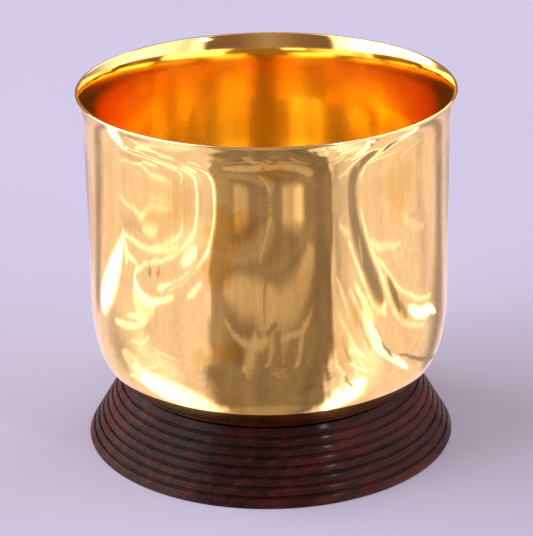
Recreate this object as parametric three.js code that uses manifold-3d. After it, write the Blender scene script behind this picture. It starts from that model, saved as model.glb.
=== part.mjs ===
// A gilt metal bowl with a flared lip, standing on a turned wooden foot with grooved sides.
// A stud under the bowl passes through the wood and is held by a nut in the foot's underside.
// Millimetres, +Z up. The origin is the centre of the face that the foot rests on.

import * as THREE from 'three';
import { mergeVertices } from 'three/addons/utils/BufferGeometryUtils.js';
import Module from 'manifold-3d';

const DEGREE = Math.PI / 180;

// Driving dimensions of the whole object
const OVERALL_HEIGHT = 127.5;
const TURNED_FACETS = 64;
const HARDWARE_FACETS = 24;

// Driving dimensions of the bowl, measured on its outer face
const RIM_RADIUS = 65;
const SHEET_THICKNESS = 1.2;
const LIP_LENGTH = 3;
const LIP_ANGLE = 26.5 * DEGREE;
const LIP_BREAK_RADIUS = 6.5;
const SWEEP_RADIUS = 290;
const SWEEP_ANGLE = 3.8 * DEGREE;
const UPPER_TURN_RADIUS = 70;
const UPPER_TURN_ANGLE = 11.5 * DEGREE;
const LOWER_TURN_RADIUS = 21;

// Driving dimensions of the wooden foot
const FOOT_HEIGHT = 23.2;
const FOOT_EDGE_BEVEL = 0.4;
const SEAT_DEPTH = 2.6;
const SEAT_LAND = 0.3;
const BAND_COUNT = 8;
const GROOVE_WIDTH = 0.9;
const GROOVE_DEPTH = 0.7;

// Driving dimensions of the fastening
const DISC_RADIUS = 13;
const DISC_THICKNESS = 1.6;
const STUD_RADIUS = 2.5;
const STUD_PROTRUSION = 1.5;
const STUD_CHAMFER = 0.5;
const COUNTERBORE_DEPTH = 10;
const WASHER_RADIUS = 6;
const WASHER_THICKNESS = 1;
const NUT_ACROSS_FLATS = 8;
const NUT_HEIGHT = 4;
const HARDWARE_CHAMFER = 0.3;

// Clearances
const SEAT_CLEARANCE = 0.3;
const STUD_CLEARANCE = 0.3;
const BORE_CLEARANCE = 0.4;

// The foot is as wide at its base as the bowl is at its rim.
const footBaseRadius = RIM_RADIUS;

// Levels and sizes that follow from the dimensions above
const floorUnderside = FOOT_HEIGHT - SEAT_DEPTH;
const discUnderside = floorUnderside - DISC_THICKNESS;
const washerUnderside = COUNTERBORE_DEPTH - WASHER_THICKNESS;
const nutUnderside = washerUnderside - NUT_HEIGHT;
const studEnd = nutUnderside - STUD_PROTRUSION;
const nutCornerRadius = NUT_ACROSS_FLATS / 2 / Math.cos(30 * DEGREE);
const threadHoleRadius = STUD_RADIUS + STUD_CLEARANCE;

const MATERIALS = {
  gilt: new THREE.MeshStandardMaterial({ color: 0xe8b765, roughness: 0.18, metalness: 1 }),
  wood: new THREE.MeshStandardMaterial({ color: 0x4a2620, roughness: 0.4, metalness: 0 }),
  silver: new THREE.MeshStandardMaterial({ color: 0xb9b4aa, roughness: 0.4, metalness: 1 }),
  brass: new THREE.MeshStandardMaterial({ color: 0xb98f4a, roughness: 0.35, metalness: 1 }),
};

// A step of an outline has a length or a radius, and headings measured outwards from straight up.
function line(length, heading) {
  return { length, from: heading, to: heading, steps: 1 };
}

function arc(radius, from, to, steps) {
  return { radius, from, to, steps };
}

// How far a step has gone, out and up, when its heading has reached the given one.
function travel(step, heading) {
  if (step.radius === undefined) {
    return new THREE.Vector2(Math.sin(step.from), Math.cos(step.from)).multiplyScalar(step.length);
  }
  const side = Math.sign(step.to - step.from) * step.radius;
  return new THREE.Vector2(
    side * (Math.cos(step.from) - Math.cos(heading)),
    side * (Math.sin(heading) - Math.sin(step.from)),
  );
}

function totalTravel(steps) {
  return steps.reduce((sum, step) => sum.add(travel(step, step.to)), new THREE.Vector2());
}

// The outward normal of a face that runs along a heading.
function normalOf(heading) {
  return new THREE.Vector2(Math.cos(heading), -Math.sin(heading));
}

function trace(start, steps) {
  const points = [];
  let corner = start;
  for (const step of steps) {
    for (let i = 1; i <= step.steps; i += 1) {
      const heading = THREE.MathUtils.lerp(step.from, step.to, i / step.steps);
      points.push({ at: corner.clone().add(travel(step, heading)), normal: normalOf(heading) });
    }
    corner = corner.clone().add(travel(step, step.to));
  }
  return points;
}

// Points on a circle, from straight down (0) anticlockwise in the plane of the outline.
function circlePoint(centre, radius, angle) {
  return new THREE.Vector2(Math.sin(angle), -Math.cos(angle)).multiplyScalar(radius).add(centre);
}

// A solid of revolution about Z. The outline holds (radius, height) and runs anticlockwise.
function turned(outline, facets) {
  const geometry = new THREE.LatheGeometry(outline, facets);
  geometry.rotateX(90 * DEGREE);
  return geometry;
}

// A ring with a bevelled edge on its lower outer corner.
function ring(holeRadius, radius, bottom, top, bevel, facets) {
  const outline = [
    new THREE.Vector2(holeRadius, bottom),
    new THREE.Vector2(radius - bevel, bottom),
    new THREE.Vector2(radius, bottom + bevel),
    new THREE.Vector2(radius, top),
    new THREE.Vector2(holeRadius, top),
    new THREE.Vector2(holeRadius, bottom),
  ];
  return turned(outline, facets);
}

// The bowl's wall from the edge of its flat floor to its rim, built so that the rim
// comes out at RIM_RADIUS and OVERALL_HEIGHT whatever the turns and the lip measure.
const rimCentre = new THREE.Vector2(
  RIM_RADIUS - SHEET_THICKNESS / 2,
  OVERALL_HEIGHT - SHEET_THICKNESS / 2,
);
const lipEnd = rimCentre.clone().addScaledVector(normalOf(LIP_ANGLE), SHEET_THICKNESS / 2);
const bodyTurns = [
  arc(LOWER_TURN_RADIUS, 90 * DEGREE, UPPER_TURN_ANGLE, 8),
  arc(UPPER_TURN_RADIUS, UPPER_TURN_ANGLE, 0, 3),
];
const lipTurns = [
  arc(SWEEP_RADIUS, 0, SWEEP_ANGLE, 3),
  arc(LIP_BREAK_RADIUS, SWEEP_ANGLE, LIP_ANGLE, 4),
  line(LIP_LENGTH, LIP_ANGLE),
];
const turnTravel = totalTravel([...bodyTurns, ...lipTurns]);
const wallHeight = lipEnd.y - floorUnderside - turnTravel.y;
const floorEdge = new THREE.Vector2(lipEnd.x - turnTravel.x, floorUnderside);
const lowerTurnCentre = new THREE.Vector2(floorEdge.x, floorUnderside + LOWER_TURN_RADIUS);

function bowlGeometry() {
  const wall = [
    { at: floorEdge, normal: normalOf(90 * DEGREE) },
    ...trace(floorEdge, [...bodyTurns, line(wallHeight, 0), ...lipTurns]),
  ];
  const outer = wall.map((point) => point.at);
  const inner = wall.map((point) => point.at.clone().addScaledVector(point.normal, -SHEET_THICKNESS));
  const rimAngles = [90, 135, 180, 225].map((angle) => angle * DEGREE);
  const rim = rimAngles.map((angle) => circlePoint(rimCentre, SHEET_THICKNESS / 2, angle));
  const outline = [
    new THREE.Vector2(0, floorUnderside),
    ...outer,
    ...rim,
    ...inner.reverse(),
    new THREE.Vector2(0, floorUnderside + SHEET_THICKNESS),
  ];
  return turned(outline, TURNED_FACETS);
}

// The dish in the foot's top follows the bowl's lower turn, SEAT_CLEARANCE away from it.
const seatRadius = LOWER_TURN_RADIUS + SEAT_CLEARANCE;
const seatStart = Math.acos(LOWER_TURN_RADIUS / seatRadius);
const seatEnd = Math.acos((lowerTurnCentre.y - FOOT_HEIGHT) / seatRadius);
const footTopRadius = circlePoint(lowerTurnCentre, seatRadius, seatEnd).x + SEAT_LAND;

// The sloping side from bottom to top, with a V-shaped groove between each two bands.
function grooveOutline() {
  const bottom = new THREE.Vector2(footBaseRadius, FOOT_EDGE_BEVEL);
  const top = new THREE.Vector2(footTopRadius, FOOT_HEIGHT);
  const along = top.clone().sub(bottom).normalize();
  const outward = new THREE.Vector2(along.y, -along.x);
  const points = [bottom];
  for (let groove = 1; groove < BAND_COUNT; groove += 1) {
    const centre = bottom.clone().lerp(top, groove / BAND_COUNT);
    points.push(centre.clone().addScaledVector(along, -GROOVE_WIDTH / 2));
    points.push(centre.clone().addScaledVector(outward, -GROOVE_DEPTH));
    points.push(centre.clone().addScaledVector(along, GROOVE_WIDTH / 2));
  }
  points.push(top);
  return points;
}

function seatOutline() {
  const steps = 5;
  const points = [];
  for (let i = 0; i <= steps; i += 1) {
    const angle = THREE.MathUtils.lerp(seatEnd, seatStart, i / steps);
    points.push(circlePoint(lowerTurnCentre, seatRadius, angle));
  }
  return points;
}

function footGeometry() {
  const pocketRadius = DISC_RADIUS + BORE_CLEARANCE;
  const pocketFloor = discUnderside - BORE_CLEARANCE;
  const boreRadius = STUD_RADIUS + BORE_CLEARANCE;
  const counterboreRadius = Math.max(WASHER_RADIUS, nutCornerRadius) + BORE_CLEARANCE;
  const underside = new THREE.Vector2(counterboreRadius, 0);
  const outline = [
    underside,
    new THREE.Vector2(footBaseRadius - FOOT_EDGE_BEVEL, 0),
    ...grooveOutline(),
    ...seatOutline(),
    new THREE.Vector2(pocketRadius, floorUnderside),
    new THREE.Vector2(pocketRadius, pocketFloor),
    new THREE.Vector2(boreRadius, pocketFloor),
    new THREE.Vector2(boreRadius, COUNTERBORE_DEPTH),
    new THREE.Vector2(counterboreRadius, COUNTERBORE_DEPTH),
    underside,
  ];
  return turned(outline, TURNED_FACETS);
}

function backingDiscGeometry() {
  const facets = TURNED_FACETS;
  const bevel = HARDWARE_CHAMFER;
  return ring(threadHoleRadius, DISC_RADIUS, discUnderside, floorUnderside, bevel, facets);
}

function studGeometry() {
  const outline = [
    new THREE.Vector2(0, studEnd),
    new THREE.Vector2(STUD_RADIUS - STUD_CHAMFER, studEnd),
    new THREE.Vector2(STUD_RADIUS, studEnd + STUD_CHAMFER),
    new THREE.Vector2(STUD_RADIUS, floorUnderside),
    new THREE.Vector2(0, floorUnderside),
  ];
  return turned(outline, HARDWARE_FACETS);
}

function washerGeometry() {
  const facets = HARDWARE_FACETS * 2;
  const bevel = HARDWARE_CHAMFER;
  return ring(threadHoleRadius, WASHER_RADIUS, washerUnderside, COUNTERBORE_DEPTH, bevel, facets);
}

// Boolean solids for the nut
const wasm = await Module();
wasm.setup();

function solidOf(geometry) {
  geometry.deleteAttribute('normal');
  geometry.deleteAttribute('uv');
  const merged = mergeVertices(geometry);
  const vertProperties = new Float32Array(merged.attributes.position.array);
  const triVerts = new Uint32Array(merged.index.array);
  return new wasm.Manifold(new wasm.Mesh({ numProp: 3, vertProperties, triVerts }));
}

function geometryOf(solid) {
  const mesh = solid.getMesh();
  const geometry = new THREE.BufferGeometry();
  geometry.setAttribute('position', new THREE.BufferAttribute(mesh.vertProperties, 3));
  geometry.setIndex(new THREE.BufferAttribute(mesh.triVerts, 1));
  geometry.computeVertexNormals();
  return geometry;
}

function hexagonPrism(cornerRadius, bottom, height) {
  const corners = [];
  for (let side = 0; side < 6; side += 1) {
    const angle = side * 60 * DEGREE;
    corners.push(new THREE.Vector2(Math.cos(angle), Math.sin(angle)).multiplyScalar(cornerRadius));
  }
  const geometry = new THREE.ExtrudeGeometry(new THREE.Shape(corners), {
    depth: height,
    bevelEnabled: false,
  });
  return geometry.translate(0, 0, bottom);
}

// A hexagon whose corners are chamfered by a drum that is coned at both ends.
function nutGeometry() {
  const chamfer = (nutCornerRadius - NUT_ACROSS_FLATS / 2) * Math.tan(30 * DEGREE);
  const drum = turned([
    new THREE.Vector2(0, nutUnderside),
    new THREE.Vector2(NUT_ACROSS_FLATS / 2, nutUnderside),
    new THREE.Vector2(nutCornerRadius, nutUnderside + chamfer),
    new THREE.Vector2(nutCornerRadius, washerUnderside - chamfer),
    new THREE.Vector2(NUT_ACROSS_FLATS / 2, washerUnderside),
    new THREE.Vector2(0, washerUnderside),
  ], HARDWARE_FACETS * 2);
  const hole = turned([
    new THREE.Vector2(0, nutUnderside - NUT_HEIGHT),
    new THREE.Vector2(threadHoleRadius, nutUnderside - NUT_HEIGHT),
    new THREE.Vector2(threadHoleRadius, washerUnderside + NUT_HEIGHT),
    new THREE.Vector2(0, washerUnderside + NUT_HEIGHT),
  ], HARDWARE_FACETS);
  const hexagon = solidOf(hexagonPrism(nutCornerRadius, nutUnderside, NUT_HEIGHT));
  return geometryOf(hexagon.intersect(solidOf(drum)).subtract(solidOf(hole)));
}

function piece(name, geometry, material) {
  const mesh = new THREE.Mesh(geometry, material);
  mesh.name = name;
  return mesh;
}

const footedBowl = new THREE.Group();
footedBowl.add(
  piece('bowl', bowlGeometry(), MATERIALS.gilt),
  piece('wooden_foot', footGeometry(), MATERIALS.wood),
  piece('backing_disc', backingDiscGeometry(), MATERIALS.silver),
  piece('stud', studGeometry(), MATERIALS.silver),
  piece('washer', washerGeometry(), MATERIALS.brass),
  piece('nut', nutGeometry(), MATERIALS.brass),
);

export default footedBowl;
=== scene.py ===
# A gilt bowl with a flared lip on a grooved rosewood foot, on a pale floor in soft studio light.
# Metres, +Z up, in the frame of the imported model.

import math

import bpy
import numpy as np
from mathutils import Matrix, Vector, noise


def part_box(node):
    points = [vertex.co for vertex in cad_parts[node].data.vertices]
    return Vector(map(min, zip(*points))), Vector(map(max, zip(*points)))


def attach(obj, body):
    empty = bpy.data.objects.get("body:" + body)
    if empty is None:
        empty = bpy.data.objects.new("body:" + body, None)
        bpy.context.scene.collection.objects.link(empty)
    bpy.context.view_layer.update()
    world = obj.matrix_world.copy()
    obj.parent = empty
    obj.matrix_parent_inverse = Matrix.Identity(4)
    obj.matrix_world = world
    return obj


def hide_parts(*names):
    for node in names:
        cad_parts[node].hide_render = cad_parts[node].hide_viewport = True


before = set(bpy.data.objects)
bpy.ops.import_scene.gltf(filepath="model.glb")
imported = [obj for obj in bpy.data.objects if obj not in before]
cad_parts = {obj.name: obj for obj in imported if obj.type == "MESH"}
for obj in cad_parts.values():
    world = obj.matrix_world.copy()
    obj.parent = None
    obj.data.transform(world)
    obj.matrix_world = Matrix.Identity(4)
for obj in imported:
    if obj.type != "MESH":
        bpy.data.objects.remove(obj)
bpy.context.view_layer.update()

MM = 0.001
UP = Vector((0, 0, 1))

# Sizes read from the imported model
bowl_low, bowl_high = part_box("bowl")
foot_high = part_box("wooden_foot")[1]
disc_low, disc_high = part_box("backing_disc")
stud_low, stud_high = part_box("stud")
washer_low, washer_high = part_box("washer")
nut_low, nut_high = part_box("nut")
RIM_RADIUS = bowl_high.x
RIM_HEIGHT = bowl_high.z
FLOOR_UNDERSIDE = bowl_low.z
FOOT_RADIUS = foot_high.x
FOOT_HEIGHT = foot_high.z

# The bowl's sheet and its turns, from the flat floor up to the lip
SHEET = 1.2 * MM
LOWER_TURN_RADIUS = 21 * MM
UPPER_TURN_RADIUS = 70 * MM
UPPER_TURN_ANGLE = math.radians(11.5)
LIP_ANGLE = math.radians(26.5)
LIP_LENGTH = 1 * MM
FLARE_STEPS = 28
FLARE_STEP_HEIGHT = 0.75 * MM
FLARE_GROWTH = 4.5 * MM
BURNISH_LINE_HEIGHT = 103.4 * MM
BURNISH_LINE_EASING = 0.4 * MM
LIP_POLISH_HEIGHT = 118 * MM
INSIDE_BREAK_DEPTH = 3.4 * MM
INSIDE_BREAK_HEADING = math.radians(12.4)
INSIDE_BREAK_EASING = 5.6 * MM

# Hand finishing: how long each wave is, how far it stands out, and where its pattern starts
RIPPLES = (
    (42 * MM, 0.04 * MM, (3.7, 1.2, 8.1)),
    (17 * MM, 0.008 * MM, (9.3, 4.4, 2.6)),
    (8 * MM, 0.0015 * MM, (1.9, 7.5, 5.2)),
)
RIPPLE_FADE_AT_SEAT = 6 * MM
RIPPLE_FADE_AT_RIM = 8 * MM
RIPPLE_ON_FLOOR = 0.5

# The foot's seat, bands and bores
SEAT_CLEARANCE = 0.3 * MM
SEAT_LAND = 0.3 * MM
FOOT_EDGE = 0.4 * MM
BAND_COUNT = 8
BAND_CROWN = 0.06 * MM
GROOVE_DEPTH = 0.7 * MM
GROOVE_HALF_WIDTH = 0.42 * MM
BORE_CLEARANCE = 0.4 * MM
COUNTERBORE_BEVEL = 0.5 * MM

# The fastening's holes, edges and thread
DISC_HOLE_CLEARANCE = 0.1 * MM
DISC_BEVEL = 0.2 * MM
WASHER_HOLE_CLEARANCE = 0.3 * MM
WASHER_BEVEL = 0.12 * MM
NUT_HOLE_CLEARANCE = 0.05 * MM
NUT_HOLE_BEVEL = 0.35 * MM
NUT_FACE_INSET = 0.1 * MM
NUT_EDGE_ROUNDING = 0.08 * MM
THREAD_PITCH = 0.8 * MM
THREAD_DEPTH = 0.43 * MM
THREAD_PAST_WASHER = 2 * MM
LEAD_LENGTH = 0.8 * MM
LEAD_DEPTH = 1.2 * THREAD_DEPTH

# How finely the turned pieces are divided
BOWL_COLUMNS = 384
FOOT_COLUMNS = 256
HARDWARE_COLUMNS = 72
BOWL_ROW_SPACING = 1.1 * MM
BOWL_FLOOR_ROWS = 24
FOOT_ROW_SPACING = 0.13 * MM
UNDERSIDE_ROWS = 20
SEAT_STEPS = 12
THREAD_ROWS_PER_TURN = 8


# Outlines, as lists of (radius, height)

class Step:
    """One stretch of the bowl's outline. Headings are measured outwards from straight up."""

    def __init__(self, start, end, radius=None, length=None):
        self.start, self.end, self.radius = start, end, radius
        self.length = length if radius is None else radius * abs(end - start)

    def travel(self, share):
        if self.radius is None:
            return Vector((math.sin(self.start), math.cos(self.start))) * self.length * share
        heading = self.heading(share)
        side = math.copysign(self.radius, self.end - self.start)
        out = math.cos(self.start) - math.cos(heading)
        up = math.sin(heading) - math.sin(self.start)
        return Vector((out, up)) * side

    def heading(self, share):
        return self.start + (self.end - self.start) * share


def normal_of(heading):
    return Vector((math.cos(heading), -math.sin(heading)))


def on_circle(centre, radius, angle):
    """A point on a circle, from straight down (0) anticlockwise."""
    return centre + Vector((math.sin(angle), -math.cos(angle))) * radius


def trace(corner, steps, spacing):
    """Points and outward normals along the steps, no further apart than spacing."""
    rows = [(corner.copy(), normal_of(steps[0].start))]
    for step in steps:
        count = max(2, math.ceil(step.length / spacing))
        for i in range(1, count + 1):
            share = i / count
            rows.append((corner + step.travel(share), normal_of(step.heading(share))))
        corner = corner + step.travel(1)
    return rows


rim_centre = Vector((RIM_RADIUS - SHEET / 2, RIM_HEIGHT - SHEET / 2))
lip_end = rim_centre + normal_of(LIP_ANGLE) * SHEET / 2
body_turns = [
    Step(math.pi / 2, UPPER_TURN_ANGLE, radius=LOWER_TURN_RADIUS),
    Step(UPPER_TURN_ANGLE, 0, radius=UPPER_TURN_RADIUS),
]
flare_headings = [0] + [
    LIP_ANGLE * math.exp(-(FLARE_STEPS - i) * FLARE_STEP_HEIGHT / FLARE_GROWTH)
    for i in range(1, FLARE_STEPS + 1)
]
lip_turns = [
    Step(low, high, radius=FLARE_STEP_HEIGHT / (math.sin(high) - math.sin(low)))
    for low, high in zip(flare_headings, flare_headings[1:])
]
lip_turns.append(Step(LIP_ANGLE, LIP_ANGLE, length=LIP_LENGTH))
turn_travel = sum((step.travel(1) for step in body_turns + lip_turns), Vector((0, 0)))
wall_height = lip_end.y - FLOOR_UNDERSIDE - turn_travel.y
floor_edge = Vector((lip_end.x - turn_travel.x, FLOOR_UNDERSIDE))
wall_radius = floor_edge.x + sum(step.travel(1).x for step in body_turns)
lower_turn_centre = Vector((floor_edge.x, FLOOR_UNDERSIDE + LOWER_TURN_RADIUS))


# Objects and meshes

def add_object(name, data):
    obj = bpy.data.objects.new(name, data)
    bpy.context.scene.collection.objects.link(obj)
    return obj


def mesh_object(name, vertices, faces, materials, face_slots, sharp_angle):
    mesh = bpy.data.meshes.new(name)
    mesh.from_pydata(vertices, [], faces)
    for material in materials:
        mesh.materials.append(material)
    mesh.polygons.foreach_set("material_index", face_slots)
    mesh.shade_smooth()
    mesh.set_sharp_from_angle(angle=sharp_angle)
    return add_object(name, mesh)


def revolve(name, outline_at, columns, materials, slot_of_row=lambda row: 0, sharp_angle=math.radians(40)):
    """A closed solid round Z. outline_at(angle) lists (radius, height) anticlockwise; an outline
    that starts and ends on the axis gets a pole at each end, and any other closes on itself."""
    rings = [outline_at(2 * math.pi * column / columns) for column in range(columns)]
    row_count = len(rings[0])
    poled = rings[0][0][0] == 0
    vertices, faces, slots = [], [], []
    first = 1 if poled else 0
    last = row_count - 1 if poled else row_count
    for column, ring in enumerate(rings):
        angle = 2 * math.pi * column / columns
        for radius, height in ring[first:last]:
            vertices.append((radius * math.cos(angle), radius * math.sin(angle), height))
    per_ring = last - first
    for column in range(columns):
        near, far = column * per_ring, (column + 1) % columns * per_ring
        for row in range(per_ring if not poled else per_ring - 1):
            above = (row + 1) % per_ring
            faces.append((near + row, far + row, far + above, near + above))
            slots.append(slot_of_row(row + first))
    if poled:
        bottom, top = len(vertices), len(vertices) + 1
        vertices += [(0, 0, rings[0][0][1]), (0, 0, rings[0][-1][1])]
        for column in range(columns):
            near, far = column * per_ring, (column + 1) % columns * per_ring
            faces.append((bottom, far, near))
            slots.append(slot_of_row(0))
            faces.append((top, near + per_ring - 1, far + per_ring - 1))
            slots.append(slot_of_row(row_count - 1))
    return mesh_object(name, vertices, faces, materials, slots, sharp_angle)


# Shader nodes

def fill(tree, socket, value):
    """Links a value that is a socket itself, and sets any other."""
    if isinstance(value, bpy.types.NodeSocket):
        tree.links.new(value, socket)
    else:
        socket.default_value = value


def place(tree, kind, inputs=None, **settings):
    made = tree.nodes.new(kind)
    for key, value in settings.items():
        setattr(made, key, value)
    for key, value in (inputs or {}).items():
        fill(tree, made.inputs[key], value)
    return made


def feed(tree, node, **sockets):
    """Fills inputs by name, with underscores for the spaces in their names."""
    for key, value in sockets.items():
        fill(tree, node.inputs[key.replace("_", " ")], value)


def maths(tree, operation, *values):
    return place(tree, "ShaderNodeMath", dict(enumerate(values)), operation=operation).outputs[0]


def times(tree, first, second):
    return maths(tree, "MULTIPLY", first, second)


def distance_of(tree, across, along):
    squares = [times(tree, value, value) for value in (across, along)]
    return maths(tree, "SQRT", maths(tree, "ADD", *squares))


def remap(tree, value, low, high, to_low=0.0, to_high=1.0, smooth=False):
    kind = "SMOOTHSTEP" if smooth else "LINEAR"
    inputs = {"Value": value, "From Min": low, "From Max": high, "To Min": to_low, "To Max": to_high}
    return place(tree, "ShaderNodeMapRange", inputs, interpolation_type=kind, clamp=True).outputs[0]


def blend(tree, share, first, second, mode="MIX"):
    inputs = {0: share, 6: first, 7: second}
    return place(tree, "ShaderNodeMix", inputs, data_type="RGBA", blend_type=mode).outputs[2]


def scaled(tree, vector, scale):
    return place(tree, "ShaderNodeVectorMath", {0: vector, "Scale": scale}, operation="SCALE").outputs[0]


def on_object(tree):
    return place(tree, "ShaderNodeTexCoord").outputs["Object"]


def split(tree, vector):
    return place(tree, "ShaderNodeSeparateXYZ", {0: vector}).outputs


def join(tree, x, y, z):
    return place(tree, "ShaderNodeCombineXYZ", {0: x, 1: y, 2: z}).outputs[0]


def noise_at(tree, vector, scale=1.0, detail=2.0, roughness=0.5, distortion=0.0):
    inputs = {"Vector": vector, "Scale": scale, "Detail": detail, "Roughness": roughness}
    return place(tree, "ShaderNodeTexNoise", {**inputs, "Distortion": distortion}).outputs[0]


def bumped(tree, height, distance):
    return place(tree, "ShaderNodeBump", {"Height": height, "Distance": distance, "Strength": 1.0}).outputs[0]


def rgb(red, green, blue):
    return (red, green, blue, 1)


def new_group(name, inputs, outputs):
    """A node group whose inputs are numbers. An output is a number too, unless it is named Colour."""
    tree = bpy.data.node_groups.new(name, "ShaderNodeTree")
    for socket_name, value in inputs.items():
        socket = tree.interface.new_socket(socket_name, in_out="INPUT", socket_type="NodeSocketFloat")
        socket.default_value = value
    for socket_name in outputs:
        kind = "NodeSocketColor" if socket_name == "Colour" else "NodeSocketFloat"
        tree.interface.new_socket(socket_name, in_out="OUTPUT", socket_type=kind)
    return tree, place(tree, "NodeGroupInput").outputs, place(tree, "NodeGroupOutput")


def use_group(tree, group, **inputs):
    made = place(tree, "ShaderNodeGroup", node_tree=group)
    feed(tree, made, **inputs)
    return made.outputs


def new_material(name):
    material = bpy.data.materials.new(name)
    material.use_nodes = True
    tree = material.node_tree
    return material, tree, tree.nodes["Principled BSDF"]


def turning_lines_group():
    """Fine rings round Z, as a lathe or a buffing wheel leaves them: they vary with radius and
    height and drift slowly with direction."""
    tree, given, result = new_group("turning_lines", {"Spacing": 0.4 * MM, "Drift": 0.5}, ["Lines"])
    x, y, z = split(tree, on_object(tree))
    drift = times(tree, maths(tree, "SINE", maths(tree, "ARCTAN2", y, x)), given["Drift"])
    across = maths(tree, "DIVIDE", distance_of(tree, x, y), given["Spacing"])
    along = maths(tree, "DIVIDE", z, given["Spacing"])
    feed(tree, result, Lines=noise_at(tree, join(tree, across, along, drift), detail=3.0, roughness=0.6))
    return tree


def clouds_group():
    """Soft uneven patches, as handling, wax or tarnish leaves them, from 0 to 1."""
    inputs = {"Patch Size": 20 * MM, "Shift": 0.0, "From": 0.45, "To": 0.7}
    tree, given, result = new_group("clouds", inputs, ["Mask"])
    scale = maths(tree, "DIVIDE", 1.0, given["Patch Size"])
    patches = place(tree, "ShaderNodeTexNoise", {
        "Vector": on_object(tree), "W": given["Shift"], "Scale": scale,
        "Detail": 4.0, "Roughness": 0.55, "Distortion": 0.6,
    }, noise_dimensions="4D")
    feed(tree, result, Mask=remap(tree, patches.outputs[0], given["From"], given["To"], smooth=True))
    return tree


def scratches_group():
    """Thin random wipe marks, drawn out along the turning direction."""
    slant, fineness = 0.12, 3200.0
    tree, given, result = new_group("scratches", {"Length": 6 * MM, "Shift": 0.0}, ["Mask"])
    x, y, z = split(tree, on_object(tree))
    arc_length = times(tree, maths(tree, "ARCTAN2", y, x), wall_radius)
    along = maths(tree, "DIVIDE", arc_length, given["Length"])
    height = maths(tree, "ADD", z, times(tree, arc_length, slant))
    across = times(tree, height, fineness)
    marks = noise_at(tree, join(tree, along, across, given["Shift"]), detail=1.0, roughness=0.4)
    feed(tree, result, Mask=remap(tree, marks, 0.66, 0.78))
    return tree


def wall_patch_group():
    """One soft uneven patch on the wall, round a direction and height."""
    inputs = {"Direction": 0.0, "Height": 90 * MM, "Half Turn": 0.1, "Half Height": 8 * MM}
    tree, given, result = new_group("wall_patch", inputs, ["Mask"])
    raggedness = 1.6
    at = on_object(tree)
    x, y, z = split(tree, at)
    turn = maths(tree, "ARCTAN2", x, times(tree, y, -1.0))
    across = maths(tree, "DIVIDE", maths(tree, "SUBTRACT", turn, given["Direction"]), given["Half Turn"])
    along = maths(tree, "DIVIDE", maths(tree, "SUBTRACT", z, given["Height"]), given["Half Height"])
    ragged = maths(tree, "SUBTRACT", noise_at(tree, at, scale=160.0, detail=4.0, roughness=0.6), 0.5)
    off = maths(tree, "ADD", distance_of(tree, across, along), times(tree, ragged, raggedness))
    feed(tree, result, Mask=remap(tree, off, 0.55, 1.15, 1.0, 0.0, smooth=True))
    return tree


def upright_streaks_group():
    """Short broken marks that stand upright on the wall."""
    tree, given, result = new_group("upright_streaks", {"Spacing": 1 * MM}, ["Mask"])
    drawn_up = place(tree, "ShaderNodeMapping", {"Vector": on_object(tree), "Scale": (1, 1, 0.12)})
    pattern = noise_at(tree, drawn_up.outputs[0], maths(tree, "DIVIDE", 1.0, given["Spacing"]))
    feed(tree, result, Mask=remap(tree, pattern, 0.52, 0.66))
    return tree


TURNING_LINES = turning_lines_group()
CLOUDS = clouds_group()
SCRATCHES = scratches_group()
WALL_PATCH = wall_patch_group()
UPRIGHT_STREAKS = upright_streaks_group()

# Old brown tarnish and rub marks on the wall: degrees from the front, height, half sizes, strength
TARNISH_PATCHES = (
    (-12, 97, 7.5, 11, 0.8), (-15.5, 84, 5.5, 8, 0.75), (-7, 101, 5, 5, 0.6), (-13, 56, 6.5, 4.5, 0.85),
    (-21, 53, 4, 4, 0.5), (1.5, 118, 5, 3.5, 0.7), (43, 108, 8, 13, 0.35), (-30, 104, 7, 6, 0.25),
    (128, 84, 9, 10, 0.5), (-152, 66, 7, 12, 0.5), (172, 100, 6, 8, 0.5), (-96, 92, 8, 7, 0.35),
)
RUB_MARKS = (-36.8, 80.5, 3.6, 5)
RUB_MARK_COLOUR = rgb(0.40, 0.20, 0.06)


def wall_mask(tree, direction, height, half_turn, half_height):
    """One patch on the wall, from degrees and millimetres."""
    return use_group(tree, WALL_PATCH, Direction=math.radians(direction), Height=height * MM,
                     Half_Turn=math.radians(half_turn), Half_Height=half_height * MM)["Mask"]


def gilding(name, clean, warm, rubbed, roughness, spread, line_spacing=0.30 * MM, patches=()):
    """Gilt metal: clean gold with patches of warmer tarnish and of paler rubbed gold."""
    tarnish_strength, rub_strength, line_height = 0.5, 0.45, 0.001 * MM
    material, tree, shader = new_material(name)
    tarnish = use_group(tree, CLOUDS, Patch_Size=26 * MM, Shift=3.1, From=0.52, To=0.72)["Mask"]
    rub = use_group(tree, CLOUDS, Patch_Size=11 * MM, Shift=8.4, From=0.50, To=0.80)["Mask"]
    lines = use_group(tree, TURNING_LINES, Spacing=line_spacing, Drift=0.6)["Lines"]
    wipes = use_group(tree, SCRATCHES, Length=7 * MM, Shift=1.7)["Mask"]
    streaks = use_group(tree, UPRIGHT_STREAKS, Spacing=1.7 * MM)["Mask"]
    colour = blend(tree, times(tree, tarnish, tarnish_strength), clean, warm)
    colour = blend(tree, times(tree, rub, rub_strength), colour, rubbed)
    for *patch, strength in patches:
        share = times(tree, wall_mask(tree, *patch), strength)
        colour = blend(tree, share, colour, warm)
    marked = times(tree, wall_mask(tree, *RUB_MARKS), streaks)
    colour = blend(tree, marked, colour, RUB_MARK_COLOUR)
    haze = remap(tree, lines, 0.3, 0.7, -spread, spread)
    dull = times(tree, tarnish, 2 * spread)
    wiped = times(tree, wipes, spread)
    rough = maths(tree, "ADD", maths(tree, "ADD", roughness, haze), maths(tree, "ADD", dull, wiped))
    relief = bumped(tree, lines, line_height)
    feed(tree, shader, Base_Color=colour, Metallic=1.0, Roughness=rough, Normal=relief)
    return material


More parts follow.
